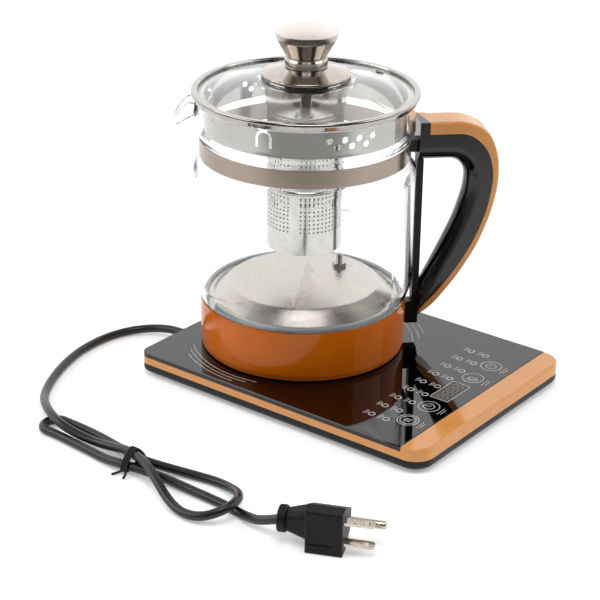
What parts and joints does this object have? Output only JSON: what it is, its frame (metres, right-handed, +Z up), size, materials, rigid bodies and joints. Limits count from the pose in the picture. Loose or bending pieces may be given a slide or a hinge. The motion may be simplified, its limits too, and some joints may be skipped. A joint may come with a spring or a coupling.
{
  "type": "electric glass kettle with touch power base",
  "caption": "Glass electric jug with handle, domed lid, knob and tea infuser, standing on a flat touch-control power base with a tied mains cord and plug.",
  "frame": {"origin": "centre of the power base's footprint, at the level of its feet", "axes": "+X along the base towards the control strip, +Y away from the cord's bundle, +Z up"},
  "size_m": [0.295, 0.2913, 0.222],
  "materials": {
    "black_plastic": "satin black",
    "gloss_black": "gloss black",
    "orange_plastic": "gloss caramel orange",
    "black_glass": "polished opaque black",
    "clear_glass": "polished clear",
    "polished_steel": "polished stainless",
    "brushed_steel": "brushed stainless",
    "plug_steel": "nickel plated",
    "aluminium": "cast",
    "brass": "bright",
    "silicone": "matte grey",
    "rubber": "matte black",
    "cord_jacket": "satin black",
    "tie_coat": "black coated wire",
    "board_laminate": "green lacquer",
    "part_case": "moulded",
    "lamp_resin": "clear resin"
  },
  "bodies": {
    "base": {"base_tray": "black_plastic", "trim_frame": "orange_plastic", "glass_panel": "black_glass", "rubber_feet": "rubber", "base_screws": "brushed_steel", "coupler_socket": "black_plastic", "coupler_contacts": "brass", "coupler_screws": "brushed_steel", "control_board": "board_laminate", "touch_springs": "brass", "indicator_lamps": "lamp_resin", "display_module": "part_case", "power_board": "board_laminate", "power_relay": "part_case", "supply_coil": "part_case", "filter_capacitors": "aluminium", "buzzer": "part_case", "board_screws": "brushed_steel", "cord_relief": "black_plastic", "cord_clamp": "black_plastic", "clamp_screws": "brushed_steel", "cord_inner": "cord_jacket", "cord_lead": "cord_jacket", "cord_hank": "cord_jacket", "cord_tail": "cord_jacket", "twist_tie": "tie_coat", "plug_body": "black_plastic", "plug_blades": "plug_steel", "plug_ground_pin": "plug_steel"},
    "coupler": {"jug_coupler": "black_plastic", "jug_contacts": "brass"},
    "jug": {"jug_skirt": "orange_plastic", "jug_base_cover": "black_plastic", "cover_screws": "brushed_steel", "plate_seal": "silicone", "heating_plate": "brushed_steel", "heat_spreader": "aluminium", "heating_element": "aluminium", "thermal_cutouts": "brushed_steel", "temp_probe": "polished_steel", "probe_nut": "polished_steel", "glass_jug": "clear_glass", "neck_band": "polished_steel", "band_bracket": "brushed_steel", "handle_grip": "gloss_black", "handle_cover": "orange_plastic", "handle_strut": "black_plastic", "handle_screws": "brushed_steel"},
    "lid": {"lid_rim": "polished_steel", "lid_glass": "clear_glass", "lid_skirt": "polished_steel", "lid_ring": "polished_steel", "vent_eyelet": "polished_steel"},
    "infuser": {"infuser_basket": "polished_steel"},
    "knob": {"knob_flange": "polished_steel", "lid_knob": "polished_steel", "knob_top": "polished_steel", "knob_screw": "polished_steel"}
  },
  "joints": [
    {"name": "jug_lift", "type": "slide", "parent": "base", "child": "coupler", "axis": [0, 0, 1], "range_m": [0, 0.06]},
    {"name": "jug_turn", "type": "hinge", "parent": "coupler", "child": "jug", "pos_m": [-0.0395, 0, 0.017], "axis": [0, 0, 1], "continuous": true},
    {"name": "lid_lift", "type": "slide", "parent": "jug", "child": "lid", "axis": [0, 0, 1], "range_m": [0, 0.11]},
    {"name": "infuser_lift", "type": "slide", "parent": "lid", "child": "infuser", "axis": [0, 0, 1], "range_m": [0, 0.12]},
    {"name": "knob_lift", "type": "slide", "parent": "infuser", "child": "knob", "axis": [0, 0, 1], "range_m": [0, 0.03]}
  ]
}
